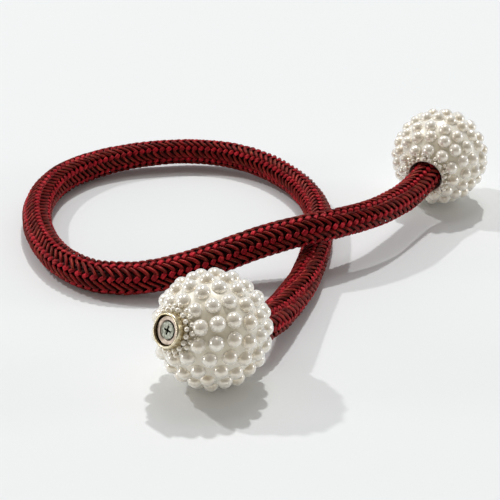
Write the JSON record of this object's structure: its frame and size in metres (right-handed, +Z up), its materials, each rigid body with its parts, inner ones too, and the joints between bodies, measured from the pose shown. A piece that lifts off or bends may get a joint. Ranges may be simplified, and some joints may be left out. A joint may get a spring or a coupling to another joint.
{
  "type": "magnetic curtain tieback",
  "caption": "Curtain tieback of thick braided cord laid in a loop, with a pearl-set ball on each end that holds a magnet in a small metal cup.",
  "frame": {"origin": "on the floor, below the middle of the box round the two balls with their magnet cups", "axes": "+Z up from the floor; +Y along the floor from the near ball towards the far ball, the longer side of the box round the two balls; +X to the right of that, with the cord's loop on the -X side"},
  "size_m": [0.1656, 0.1751, 0.0349],
  "materials": {
    "braid": "satin herringbone braid, crimson over near-black gaps",
    "pearl": "cream pearlescent beads on a beige pearly skin",
    "cup_metal": "polished champagne plating",
    "magnet_metal": "nickel plating, warm grey",
    "screw_metal": "zinc plating, dull grey"
  },
  "bodies": {
    "root": {"cord": "braid", "ball_near": "pearl", "ball_far": "pearl", "magnet_cup_near": "cup_metal", "magnet_cup_far": "cup_metal", "magnet_near": "magnet_metal", "magnet_far": "magnet_metal", "screw_near": "screw_metal", "screw_far": "screw_metal"}
  },
  "joints": []
}
